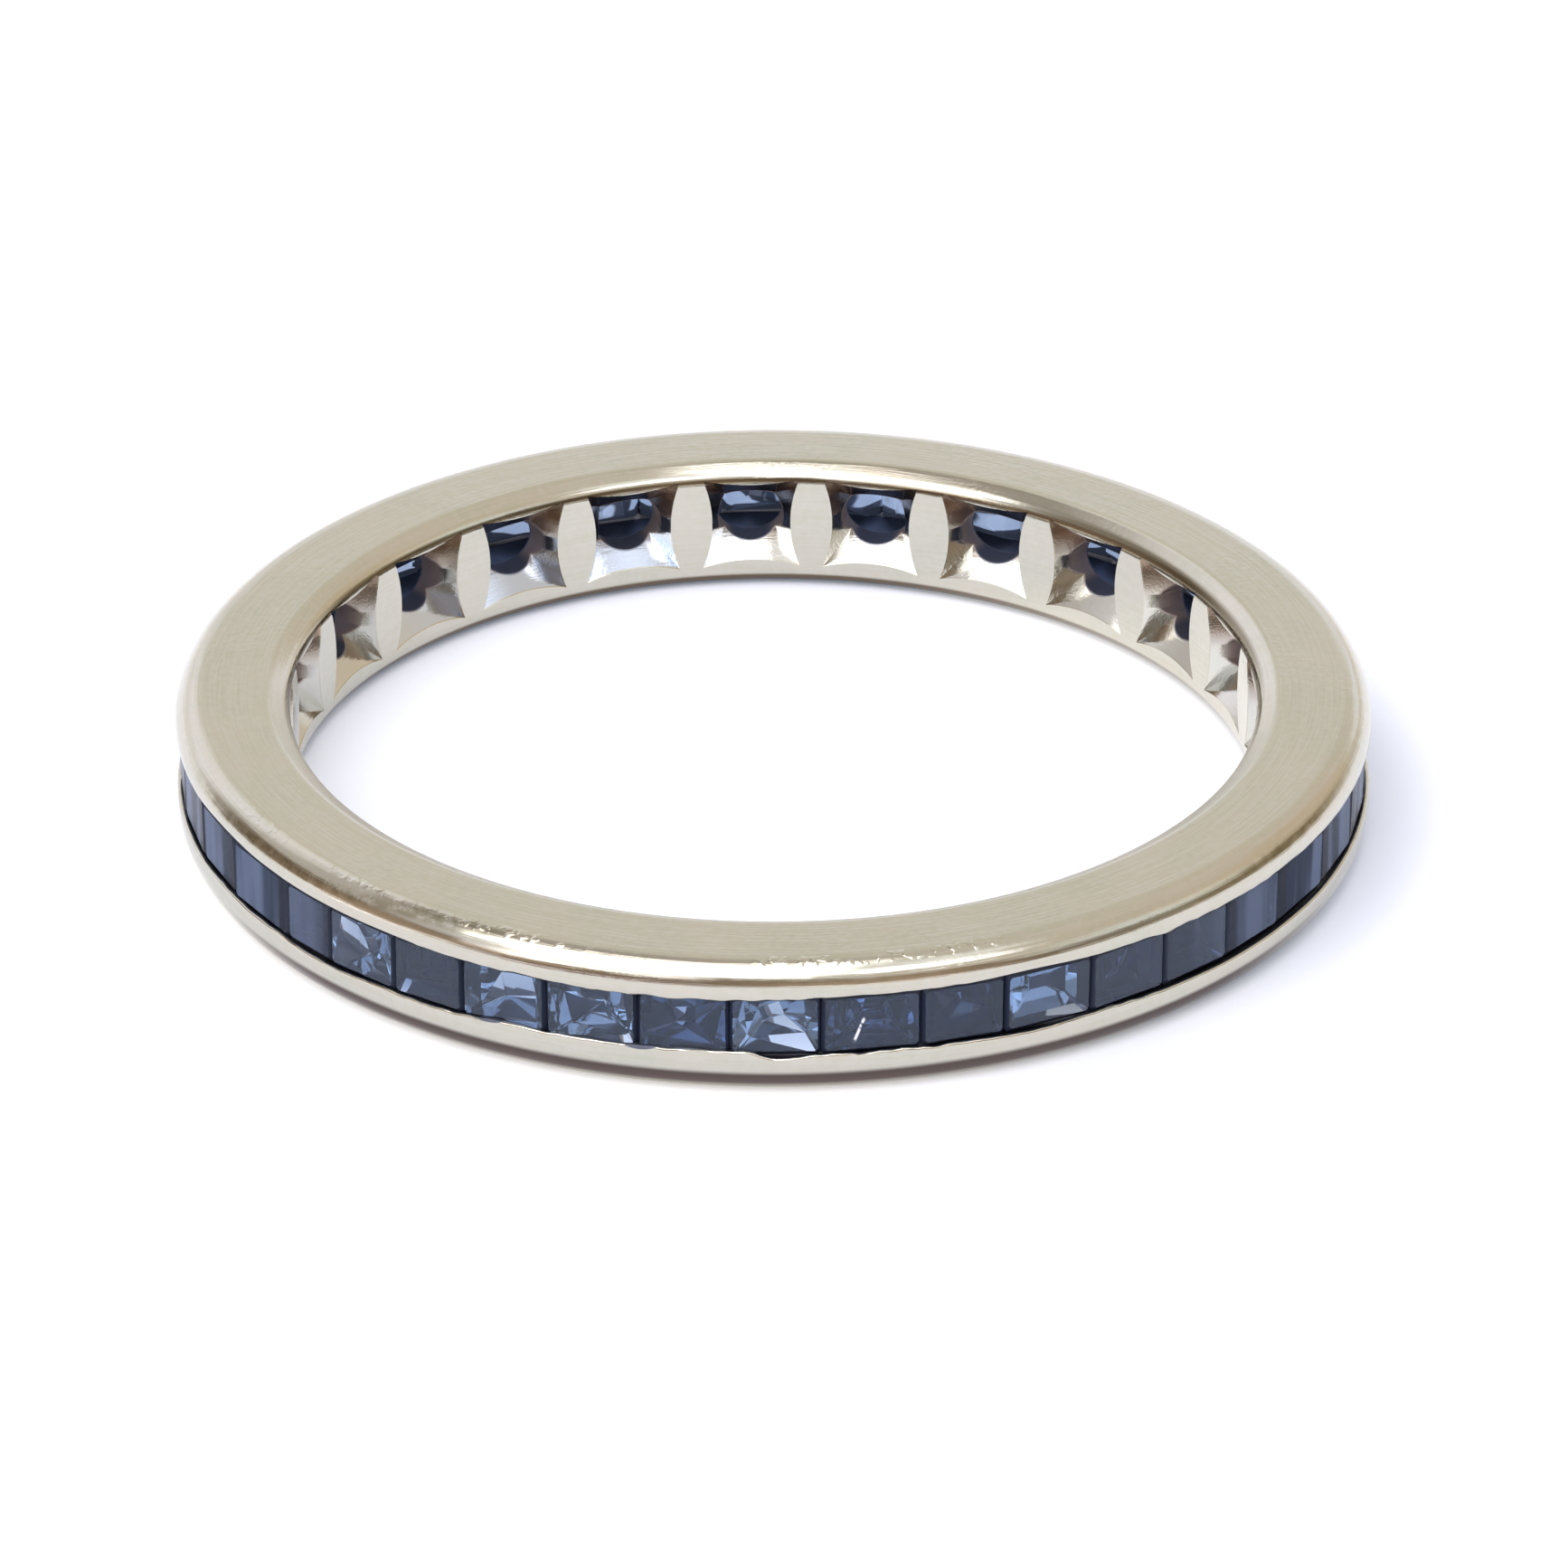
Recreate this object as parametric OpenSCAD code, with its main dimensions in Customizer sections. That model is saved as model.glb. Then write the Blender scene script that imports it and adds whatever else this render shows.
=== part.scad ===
/* [Band] */
// Diameter of the finger hole
finger_hole_d = 16.8; // [16:0.1:18]
// Thickness of the band, from the finger hole to the outer face
band_thick = 2.0; // [1.9:0.05:2.4]
// Width of the band, which is its height as the ring lies on its side
band_width = 2.4; // [2.4:0.1:2.8]
// Rounding of the two outer shoulders
shoulder_r = 0.48; // [0.3:0.02:0.5]
// Rounding of the two edges of the finger hole
finger_edge_r = 0.36; // [0.35:0.01:0.4]

/* [Channel] */
// Height of the middle of the channel and windows above the side the ring lies on
channel_z = 1.30; // [1.29:0.01:1.34]
// Clear height between the two lips that show the stones
lip_gap = 1.0; // [0.94:0.02:1.04]
// Thickness of each lip at its free edge, over the stones
lip_thick = 0.09; // [0.06:0.01:0.1]
// Height of the groove under the lips, which takes the girdles
seat_gap = 1.22; // [1.18:0.02:1.26]
// Clear height of the channel below the groove
well_gap = 1.04; // [1.02:0.02:1.1]
// Depth of the channel below the outer face
channel_depth = 1.2; // [1.1:0.05:1.25]

/* [Windows] */
// Number of windows sawn through the inner wall
window_count = 24; // [12:1:24]
// Width of a window at half its height, on the wall of the finger hole
window_w = 1.40; // [1.2:0.05:1.45]
// Height of a window at its middle
window_h = 1.52; // [1.5:0.02:1.56]
// How far the two upright edges of a window bow towards its middle
side_bow = 0.11; // [0.05:0.01:0.15]
// How far the top and bottom edges of a window bow towards its middle
end_bow = 0.04; // [0.02:0.01:0.06]
// Diameter of the round hole drilled behind each window
drill_d = 1.0; // [0.9:0.02:1]
// Angle at which a window's two upright walls lean inwards behind its edges
side_lean = 25; // [18:1:28]
// Angle at which a window's top and bottom walls lean inwards behind its edges
end_lean = 40; // [30:1:42]

/* [Stones] */
// How wide each stone is cut, compared with the others, anticlockwise from the first
stone_shares = [ // [60:100]
    84, 93, 81, 89, 84, 82, 82, 90, 86, 84, 87,
    85, 88, 86, 90, 84, 87, 89, 85, 86, 88, 83,
    87, 90, 86, 84, 88, 87, 85, 89, 86, 84, 86,
    88, 82, 98, 64, 82, 77, 86, 88, 85
];
// Turn of the first stone's middle from the front of the ring
first_stone_turn = 4.9; // [0:0.1:8]
// Depth of the stones' tables below the outer face, at their middle
table_depth = 0.09; // [0.09:0.01:0.12]
// Gap between one stone and the next at the girdle
stone_gap = 0.03; // [0.02:0.005:0.05]
// Height of a stone at the girdle
girdle_h = 1.16; // [1.1:0.01:1.16]
// Height of a stone's table
table_h = 0.86; // [0.8:0.01:0.9]
// How far the crown stands in from the girdle at each end of the table
crown_in = 0.045; // [0.03:0.005:0.08]

/* [Hidden] */
$fn = 96;
bore_r = finger_hole_d / 2;
outer_r = bore_r + band_thick;
through = 0.5;

stone_count = len(stone_shares);
share_sum = share_before(stone_count);

// Depths, towards the finger hole, of the slopes and the groove that hold the girdles
lip_slope = 0.09;
seat_depth = 0.16;
well_slope = 0.16;

// Cut of a stone, as rings of eight corners down from the table
crown_depth = 0.15;
girdle_thick = 0.06;
break_depth = 0.55;
culet_depth = 0.93;
girdle_clip = 0.05;
break_w_share = 0.66;
break_in_y = 0.18;
break_clip = 0.15;
culet_x = 0.09;
culet_y = 0.07;
culet_clip = 0.03;
girdle_r = outer_r - table_depth - crown_depth;

function stone_name(i) = str("stone_", i < 10 ? "0" : "", i);

function share_before(n) = n == 0 ? 0 : stone_shares[n - 1] + share_before(n - 1);

function stone_angle(i) = 360 * stone_shares[i - 1] / share_sum;

function stone_turn(i) = first_stone_turn - stone_angle(1) / 2
    + 360 * share_before(i - 1) / share_sum + stone_angle(i) / 2;

// Radius of an arc that bows by the given amount over a length
function bow_radius(length, bow) = (pow(length / 2, 2) + bow * bow) / (2 * bow);

// Eight corners of a rectangle with clipped corners, at a depth below the table
function clipped_ring(half_x, half_y, clip, depth) = [
    for (p = [
        [half_x, half_y - clip], [half_x - clip, half_y],
        [clip - half_x, half_y], [-half_x, half_y - clip],
        [-half_x, clip - half_y], [clip - half_x, -half_y],
        [half_x - clip, -half_y], [half_x, clip - half_y]
    ]) [p[0], p[1], -depth]
];

// What is cut away outside a rounded corner, in the first quarter round its centre
module corner_waste(r) {
    difference() {
        square(r + through);
        circle(r);
    }
}

module channel_outline() {
    lip = lip_gap / 2;
    seat = seat_gap / 2;
    well = well_gap / 2;
    under_lip = outer_r - lip_thick;
    seat_top = under_lip - lip_slope;
    seat_bottom = seat_top - seat_depth;
    well_top = seat_bottom - well_slope;
    floor_r = outer_r - channel_depth;
    polygon([
        [outer_r + through, -lip], [outer_r + through, lip],
        [under_lip, lip], [seat_top, seat], [seat_bottom, seat], [well_top, well], [floor_r, well],
        [floor_r, -well], [well_top, -well], [seat_bottom, -seat], [seat_top, -seat], [under_lip, -lip]
    ]);
}

// Section of the band to the right of the ring's axis
module band_section() {
    difference() {
        translate([bore_r, 0]) square([band_thick, band_width]);
        translate([outer_r - shoulder_r, band_width - shoulder_r]) corner_waste(shoulder_r);
        translate([outer_r - shoulder_r, shoulder_r]) mirror([0, 1]) corner_waste(shoulder_r);
        translate([bore_r + finger_edge_r, band_width - finger_edge_r])
            mirror([1, 0]) corner_waste(finger_edge_r);
        translate([bore_r + finger_edge_r, finger_edge_r])
            rotate(180) corner_waste(finger_edge_r);
        translate([0, channel_z]) channel_outline();
    }
}

// One wall of a window's flare, bowed towards the window, on the +Y side of its middle
module flare_wall(half_size, radius, lean) {
    reach = 16;
    translate([0, half_size + radius / cos(lean), 0])
        rotate([0, 0, -lean])
            rotate([0, 90, 0])
                cylinder(r = radius, h = reach, center = true);
}

// A window, from the wall of the finger hole outwards along +X, through to the channel
module window() {
    room = 2;
    cut_length = band_thick - channel_depth + 2 * through;
    difference() {
        translate([-through, -room / 2, -room / 2]) cube([cut_length, room, room]);
        for (side = [0, 180]) {
            rotate([side, 0, 0]) flare_wall(window_w / 2, bow_radius(window_h, side_bow), side_lean);
            rotate([side + 90, 0, 0])
                flare_wall(window_h / 2, bow_radius(window_w, end_bow), end_lean);
        }
    }
    rotate([0, 90, 0]) translate([0, 0, -through]) cylinder(d = drill_d, h = cut_length);
}

module band() {
    color([0.80, 0.77, 0.69])
        difference() {
            rotate_extrude() band_section();
            for (i = [0:window_count - 1])
                rotate([0, 0, (i + 0.5) * 360 / window_count])
                    translate([bore_r, 0, channel_z])
                        window();
        }
}

// A square stone with a step-cut crown and pavilion, its table up and its middle at the origin
module cut_stone(girdle_w) {
    half_w = girdle_w / 2;
    half_h = girdle_h / 2;
    rings = [
        clipped_ring(half_w - crown_in, table_h / 2, girdle_clip, 0),
        clipped_ring(half_w, half_h, girdle_clip, crown_depth),
        clipped_ring(half_w, half_h, girdle_clip, crown_depth + girdle_thick),
        clipped_ring(half_w * break_w_share, half_h - break_in_y, break_clip, break_depth),
        clipped_ring(culet_x, culet_y, culet_clip, culet_depth)
    ];
    corners = 8;
    last = (len(rings) - 1) * corners;
    sides = [
        for (ring = [0:len(rings) - 2], k = [0:corners - 1])
            [ring * corners + k, ring * corners + (k + 1) % corners,
             (ring + 1) * corners + (k + 1) % corners, (ring + 1) * corners + k]
    ];
    table = [for (k = [corners - 1:-1:0]) k];
    culet = [for (k = [0:corners - 1]) last + k];
    polyhedron([for (ring = rings) each ring], concat([table], sides, [culet]));
}

module stone(i) {
    girdle_w = 2 * girdle_r * sin(stone_angle(i) / 2) - stone_gap;
    color([0.16, 0.22, 0.34])
        rotate([0, 0, stone_turn(i)])
            translate([0, table_depth - outer_r, channel_z])
                rotate([90, 0, 0])
                    cut_stone(girdle_w);
}

band();
for (i = [1:stone_count])
    stone(i);
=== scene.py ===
import bmesh
import bpy
import math
import random
from mathutils import Matrix, Vector, noise


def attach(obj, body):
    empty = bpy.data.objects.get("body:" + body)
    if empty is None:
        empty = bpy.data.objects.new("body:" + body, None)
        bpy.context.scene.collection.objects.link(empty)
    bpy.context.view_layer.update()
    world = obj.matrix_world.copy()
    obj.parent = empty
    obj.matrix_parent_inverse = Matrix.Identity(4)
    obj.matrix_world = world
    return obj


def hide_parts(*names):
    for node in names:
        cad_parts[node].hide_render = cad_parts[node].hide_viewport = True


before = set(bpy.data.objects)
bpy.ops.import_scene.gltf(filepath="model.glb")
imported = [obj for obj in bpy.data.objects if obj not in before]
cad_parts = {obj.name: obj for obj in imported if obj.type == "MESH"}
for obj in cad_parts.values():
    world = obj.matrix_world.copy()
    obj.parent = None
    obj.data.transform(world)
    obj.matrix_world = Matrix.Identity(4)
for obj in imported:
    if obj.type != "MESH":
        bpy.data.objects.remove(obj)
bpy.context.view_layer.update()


# The band is one piece of white gold: two rounded rails, a channel between them
# and an inner wall sawn through with 24 flared windows. It was turned and sawn,
# and its lips were pushed over the stones, which leaves their edges uneven.

# Meshes are made in millimetres and end in metres
MM = 0.001
TO_MM = 1 / MM
BORE_R = 8.4
OUTER_R = 10.4
WIDTH = 2.4
SHOULDER_R = 0.48
FINGER_EDGE_R = 0.36
CHANNEL_Z = 1.30
HALF_LIP = 0.50
HALF_SEAT = 0.61
HALF_WELL = 0.52
LIP_IN_R = 10.31
SEAT_OUT_R = 10.22
SEAT_IN_R = 10.06
WELL_OUT_R = 9.90
CHANNEL_FLOOR_R = 9.2
LIP_EDGE_ROUND = 0.035
LIP_BACK_ROUND = 0.03
FINE_ROUND = 0.05
ROUND_STEPS = 12
FINE_STEPS = 3
# The upper edge of the finger hole is eased to a slope
EASED_IN = 0.36
EASED_DOWN = 0.19
EASED_TOP_ROUND = 0.06
EASED_LOW_ROUND = 0.165
WINDOWS = 24
SECTOR = 360 / WINDOWS
SECTOR_STEPS = 30
WINDOW_W = 1.40
WINDOW_H = 1.52
WINDOW_REACH = 1.8
WINDOW_ROOM = 2
WINDOW_MIDDLE = 0.4
SIDE_BOW = 0.11
END_BOW = 0.04
SIDE_LEAN = math.radians(25)
END_LEAN = math.radians(40)
FLARE_REACH = 16
FLARE_STEPS = 480
DRILL_D = 1.0
DRILL_STRETCH = 1.22
DRILL_STEPS = 72


def made_object(name, bm):
    """Puts a mesh into the scene as an object of its own."""
    mesh = bpy.data.meshes.new(name)
    bm.to_mesh(mesh)
    bm.free()
    thing = bpy.data.objects.new(name, mesh)
    bpy.context.scene.collection.objects.link(thing)
    return thing


def cut_away(body, tools):
    """Cuts the tools out of the body and removes them."""
    for tool in tools:
        cut = body.modifiers.new("cut", "BOOLEAN")
        cut.operation = "DIFFERENCE"
        cut.solver = "EXACT"
        cut.object = tool
    depsgraph = bpy.context.evaluated_depsgraph_get()
    mesh = bpy.data.meshes.new_from_object(body.evaluated_get(depsgraph))
    body.modifiers.clear()
    body.data = mesh
    for tool in tools:
        bpy.data.objects.remove(tool)


def band_section():
    """Section of the band at the start of a sector, its corners rounded as the metal is."""
    bm = bmesh.new()
    flat_in = BORE_R + FINGER_EDGE_R + 0.1
    flat_out = OUTER_R - SHOULDER_R - 0.03
    low_lip, high_lip = CHANNEL_Z - HALF_LIP, CHANNEL_Z + HALF_LIP
    low_seat, high_seat = CHANNEL_Z - HALF_SEAT, CHANNEL_Z + HALF_SEAT
    low_well, high_well = CHANNEL_Z - HALF_WELL, CHANNEL_Z + HALF_WELL
    corners = [
        (BORE_R, 0, FINGER_EDGE_R), (flat_in, 0, 0), (flat_out, 0, 0),
        (OUTER_R, 0, SHOULDER_R), (OUTER_R, SHOULDER_R + 0.02, 0),
        (OUTER_R, low_lip, LIP_EDGE_ROUND), (LIP_IN_R, low_lip, LIP_BACK_ROUND),
        (SEAT_OUT_R, low_seat, 0), (SEAT_IN_R, low_seat, 0),
        (WELL_OUT_R, low_well, 0), (CHANNEL_FLOOR_R, low_well, 0),
        (CHANNEL_FLOOR_R, high_well, 0), (WELL_OUT_R, high_well, 0),
        (SEAT_IN_R, high_seat, 0), (SEAT_OUT_R, high_seat, 0),
        (LIP_IN_R, high_lip, LIP_BACK_ROUND), (OUTER_R, high_lip, LIP_EDGE_ROUND),
        (OUTER_R, WIDTH - SHOULDER_R - 0.02, 0), (OUTER_R, WIDTH, SHOULDER_R),
        (flat_out, WIDTH, 0), (flat_in, WIDTH, 0),
        (BORE_R + EASED_IN, WIDTH, EASED_TOP_ROUND),
        (BORE_R, WIDTH - EASED_DOWN, EASED_LOW_ROUND),
        (BORE_R, WIDTH - FINGER_EDGE_R, 0), (BORE_R, FINGER_EDGE_R + 0.03, 0),
    ]
    verts = [bm.verts.new((r, 0, z)) for r, z, _ in corners]
    bm.faces.new(verts)
    for vert, (_, _, rounding) in zip(verts, corners):
        if rounding:
            bmesh.ops.bevel(
                bm, geom=[vert], offset=rounding, offset_type="OFFSET",
                segments=ROUND_STEPS if rounding > FINE_ROUND else FINE_STEPS, profile=0.5,
                affect="VERTICES", material=-1,
            )
    return bm


def band_sector():
    bm = band_section()
    bmesh.ops.spin(
        bm, geom=bm.verts[:] + bm.edges[:] + bm.faces[:], cent=(0, 0, 0), axis=(0, 0, 1),
        angle=math.radians(SECTOR), steps=SECTOR_STEPS, use_merge=False,
    )
    bmesh.ops.recalc_face_normals(bm, faces=bm.faces[:])
    return made_object("band", bm)


def cylinder(name, radius, length, segments, turns):
    bm = bmesh.new()
    bmesh.ops.create_cone(
        bm, cap_ends=True, segments=segments, radius1=radius, radius2=radius, depth=length,
    )
    bmesh.ops.transform(bm, matrix=turns, verts=bm.verts[:])
    return made_object(name, bm)


def flare_wall(half_size, bow, length, lean, side):
    """One bowed wall of a window's flare, as the leaning cylinder that it follows."""
    radius = ((length / 2) ** 2 + bow * bow) / (2 * bow)
    turns = (
        Matrix.Rotation(math.radians(side), 4, "X")
        @ Matrix.Translation((0, half_size + radius / math.cos(lean), 0))
        @ Matrix.Rotation(-lean, 4, "Z")
        @ Matrix.Rotation(math.radians(90), 4, "Y")
    )
    return cylinder("flare_wall", radius, FLARE_REACH, FLARE_STEPS, turns)


def window_cutter():
    bm = bmesh.new()
    bmesh.ops.create_cube(bm, size=1)
    bmesh.ops.scale(bm, vec=(WINDOW_REACH, WINDOW_ROOM, WINDOW_ROOM), verts=bm.verts[:])
    bmesh.ops.translate(bm, vec=(WINDOW_MIDDLE, 0, 0), verts=bm.verts[:])
    cutter = made_object("window", bm)
    cut_away(cutter, [
        flare_wall(half, bow, length, lean, side)
        for half, bow, length, lean, first in (
            (WINDOW_W / 2, SIDE_BOW, WINDOW_H, SIDE_LEAN, 0),
            (WINDOW_H / 2, END_BOW, WINDOW_W, END_LEAN, 90),
        )
        for side in (first, first + 180)
    ])
    return cutter


sector = band_sector()
window_place = (
    Matrix.Rotation(math.radians(SECTOR / 2), 4, "Z")
    @ Matrix.Translation((BORE_R, 0, CHANNEL_Z))
)
window = window_cutter()
window.data.transform(window_place)
drill = cylinder(
    "drill", DRILL_D / 2, WINDOW_REACH, DRILL_STEPS,
    window_place @ Matrix.Scale(DRILL_STRETCH, 4, (0, 1, 0))
    @ Matrix.Translation((WINDOW_MIDDLE, 0, 0)) @ Matrix.Rotation(math.radians(90), 4, "Y"),
)
cut_away(sector, [window, drill])

# The two end faces of the sector go, and 24 copies of it join into the ring
ON_END = 1e-5
JOINED = 1e-4
bm = bmesh.new()
bm.from_mesh(sector.data)
turn = math.radians(SECTOR)
ends = [
    face for face in bm.faces
    if all(abs(v.co.y) < ON_END for v in face.verts)
    or all(abs(math.atan2(v.co.y, v.co.x) - turn) < ON_END for v in face.verts)
]
bmesh.ops.delete(bm, geom=ends, context="FACES")
one = bm.verts[:] + bm.edges[:] + bm.faces[:]
for i in range(1, WINDOWS):
    copy = bmesh.ops.duplicate(bm, geom=one)["geom"]
    bmesh.ops.rotate(
        bm, cent=(0, 0, 0), matrix=Matrix.Rotation(i * turn, 3, "Z"),
        verts=[e for e in copy if isinstance(e, bmesh.types.BMVert)],
    )
bmesh.ops.remove_doubles(bm, verts=bm.verts[:], dist=JOINED)

# Where each lip's free edge was pushed to: the turn in degrees from the front,
# and how far the upper and the lower edge stand above an even line there
LIP_PUSH = (
    (-67, 0.09, -0.07), (-59, 0.13, -0.03), (-51, 0.10, -0.035), (-43, 0.08, -0.06),
    (-35, 0.07, -0.03), (-27, 0.025, -0.02), (-19, 0.025, 0.045), (-11, -0.02, 0.035),
    (-3, -0.02, 0.04), (2, 0.01, 0.04), (5, 0.025, -0.08), (9, 0.03, -0.02),
    (13, 0.055, -0.01), (21, 0.045, -0.035), (29, 0.09, -0.07), (37, 0.04, -0.03),
    (45, 0.015, -0.065), (53, 0.03, -0.09), (61, 0.04, -0.09), (69, 0.05, -0.10),
    (77, 0.06, -0.08), (293, 0.09, -0.07),
)
# Which metal is a lip's, how far the push reaches up and down the shoulders, and
# how rough the lips' edges and the near shoulder are, in millimetres
LIP_ZONE_R = 10.28
LIP_ZONE_DEPTH = 0.2
LIP_LEVEL = 0.04
UPPER_FADE = 0.32
LOWER_FADE = 0.30
ROUGH_REACH = 0.09
ROUGH_LONG = 0.055
ROUGH_SHORT = 0.060
ROUGH_IN = 0.05
SHOULDER_WORN = 0.004
SHOULDER_LONG = 0.016
SHOULDER_SHORT = 0.012
SHOULDER_WAVE = 0.42


def round_noise(angle, grain, seed):
    """Noise that runs once round the ring without a seam, about -0.5 to 0.5."""
    return noise.noise((math.cos(angle) * grain, math.sin(angle) * grain, seed)) * 0.7


def lip_push(angle):
    """How far the upper and lower lips' edges stand above their even lines."""
    start = LIP_PUSH[0][0]
    turn = (math.degrees(angle) + 90 - start) % 360 + start
    for (first, *low), (last, *high) in zip(LIP_PUSH, LIP_PUSH[1:]):
        if first <= turn <= last:
            share = (turn - first) / (last - first)
            share = share * share * (3 - 2 * share)
            return [a + (b - a) * share for a, b in zip(low, high)]
    return LIP_PUSH[0][1:]


def faded(away, fade):
    """1 at a lip's edge, falling to 0 where the pushed metal ends on the shoulder."""
    return min(1, max(0, 1 - (away - LIP_LEVEL) / fade))


for vert in bm.verts:
    r = math.hypot(vert.co.x, vert.co.y)
    angle = math.atan2(vert.co.y, vert.co.x)
    outward = Vector((vert.co.x / r, vert.co.y / r, 0))
    if r > LIP_ZONE_R:
        upper, lower = lip_push(angle)
        above = vert.co.z - CHANNEL_Z - HALF_LIP
        below = CHANNEL_Z - HALF_LIP - vert.co.z
        if above > -LIP_ZONE_DEPTH:
            vert.co.z += upper * faded(above, UPPER_FADE)
        elif below > -LIP_ZONE_DEPTH:
            vert.co.z += lower * faded(below, LOWER_FADE)
    for side in (-1, 1):
        edge = CHANNEL_Z + side * HALF_LIP
        near = max(0.0, 1 - abs(vert.co.z - edge) / ROUGH_REACH)
        if near and r > LIP_ZONE_R:
            rough = (
                ROUGH_LONG * round_noise(angle, 14, 3.1 + side)
                + ROUGH_SHORT * round_noise(angle, 42, 9.7 + side)
            )
            vert.co.z += near * rough
            pressed = max(0.0, round_noise(angle, 30, 21.3 + side))
            vert.co -= outward * near * ROUGH_IN * pressed
    if r > OUTER_R - SHOULDER_R + 0.02 and vert.co.z > WIDTH - SHOULDER_R - 0.01:
        wave = (
            SHOULDER_LONG * round_noise(angle, 9, 40 + vert.co.z * 0.4)
            + SHOULDER_SHORT * round_noise(angle, 30, vert.co.z)
        )
        vert.co -= outward * (SHOULDER_WORN + wave * SHOULDER_WAVE)

for vert in bm.verts:
    vert.co *= MM
bm.to_mesh(sector.data)
bm.free()
band = sector
band.data.shade_smooth()
band.data.set_sharp_from_angle(angle=math.radians(32))


class Wire:
    """An output of a node. A sum, product or power on it adds a Math node."""

    def __init__(self, finish, socket):
        self.finish, self.socket = finish, socket

    def maths(self, operation, *values):
        return self.finish.add(
            "ShaderNodeMath", {"operation": operation}, dict(enumerate(values))
        )

    def then(self, operation, *others):
        """The operation on this value, and on the others after it."""
        return self.maths(operation, self, *others)

    def __add__(self, other): return self.maths("ADD", self, other)
    def __radd__(self, other): return self.maths("ADD", other, self)
    def __sub__(self, other): return self.maths("SUBTRACT", self, other)
    def __rsub__(self, other): return self.maths("SUBTRACT", other, self)
    def __mul__(self, other): return self.maths("MULTIPLY", self, other)
    def __rmul__(self, other): return self.maths("MULTIPLY", other, self)
    def __truediv__(self, other): return self.maths("DIVIDE", self, other)
    def __rtruediv__(self, other): return self.maths("DIVIDE", other, self)
    def __pow__(self, other): return self.maths("POWER", self, other)
    def __rpow__(self, other): return self.maths("POWER", other, self)


class Finish:
    """The node tree of one finish."""

    def __init__(self, tree):
        self.tree = tree
        tree.nodes.clear()

    def add(self, kind, settings=None, values=None, output=0):
        """Adds a node: its settings first, then its sockets' values or wires."""
        node = self.tree.nodes.new(kind)
        for key, value in (settings or {}).items():
            setattr(node, key, value)
        for key, value in (values or {}).items():
            if isinstance(value, Wire):
                self.tree.links.new(value.socket, node.inputs[key])
            else:
                node.inputs[key].default_value = value
        return Wire(self, node.outputs[output]) if node.outputs else None

    def split(self, vector):
        """The three parts of a vector."""
        return [self.add("ShaderNodeSeparateXYZ", None, {0: vector}, i) for i in range(3)]

    def joined(self, x, y, z):
        return self.add("ShaderNodeCombineXYZ", None, {0: x, 1: y, 2: z})

    def ramp(self, value, low, high):
        """Rises smoothly from 0 at low to 1 at high."""
        return self.add(
            "ShaderNodeMapRange", {"interpolation_type": "SMOOTHSTEP"},
            {"Value": value, "From Min": low, "From Max": high},
        )

    def fall(self, value, low, high):
        """Falls smoothly from 1 at low to 0 at high."""
        return 1 - self.ramp(value, low, high)

    def between(self, value, low, high, soft):
        """1 between low and high, falling smoothly to 0 outside them."""
        return self.ramp(value, low - soft, low + soft) * (
            self.fall(value, high - soft, high + soft)
        )

    def mix(self, share, first, second):
        return self.add(
            "ShaderNodeMix", {"data_type": "RGBA"}, {0: share, 6: first, 7: second}, 2
        )

    def tinted(self, share, colour, tint):
        return self.add(
            "ShaderNodeMix", {"data_type": "RGBA", "blend_type": "MULTIPLY"},
            {0: share, 6: colour, 7: (*tint, 1)}, 2,
        )

    def grain(self, vector, scale, detail=2.0, rough=0.5):
        return self.add("ShaderNodeTexNoise", {"noise_dimensions": "3D"}, {
            "Vector": vector, "Scale": scale, "Detail": detail, "Roughness": rough,
        })


def new_finish(name):
    material = bpy.data.materials.new(name)
    material.use_nodes = True
    return material, Finish(material.node_tree)


COOL_GOLD = (0.555, 0.547, 0.448, 1)
WARM_GOLD = (0.604, 0.562, 0.468, 1)
LINE_GOLD = (0.622, 0.597, 0.522, 1)
TOP_FACE_SHADE_TINT = (0.93, 0.935, 0.875)
SAWN_GOLD = (0.65, 0.64, 0.59, 1)
SAWN_HIGH_SHADE_TINT = (0.66, 0.55, 0.50)
SAWN_LEFT_REFLECTION_TINT = (0.95, 1.06, 1.34)
UNDERSIDE_SHADE_TINT = (0.62, 0.59, 0.58)
CONTACT_SHADE = (0.11, 0.085, 0.078, 1)
HOLE_FOOT_SHADE = (0.17, 0.125, 0.085, 1)
STREAK_REFLECTION = (0.27, 0.235, 0.145, 1)
RIM_DARK_REFLECTION = (0.20, 0.165, 0.105, 1)
DRILLED_LOW = (0.16, 0.17, 0.22, 1)
DRILLED_HIGH = (0.46, 0.37, 0.34, 1)
CHANNEL_DEEP = (0.24, 0.26, 0.34, 1)
CHANNEL_NEAR = (0.10, 0.105, 0.13, 1)
# Grains to the metre
WEAR_SCALE = 420.0
CLOUD_SCALE = 700.0
STREAK_REFLECTION_SCALE = 3600.0
DENT_SCALE = 5200.0
SPECKLE_SCALE = 7000.0
NICK_SCALE = 9000.0
# Where each mark begins and ends, and how softly: by turn in degrees from the
# front, by height in millimetres (Z) and by distance from the axis (R)
SAWN_Z = (0.38, 2.16, 0.02)
SAWN_HIGH_Z = (1.25, 1.75)
SAWN_LOW_Z = (0.85, 1.05)
LEFT_BACK = (-168, -126, 8)
FRONT = (-54, 64, 14)
FRONT_R = (9.86, 9.94)
UNDERSIDE_Z = (0.16, 0.28)
CONTACT_SHADE_LOW_Z = (0.13, 0.25)
CONTACT_SHADE_HIGH_Z = (0.40, 0.50)
HOLE_FOOT_SHADE_LOW_Z = (0.004, 0.03)
HOLE_FOOT_SHADE_HIGH_Z = (0.20, 0.27)
HOLE_FOOT_SHADE_R = (8.75, 8.85)
RIGHT_BACK = (70, 150, 28)
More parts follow.
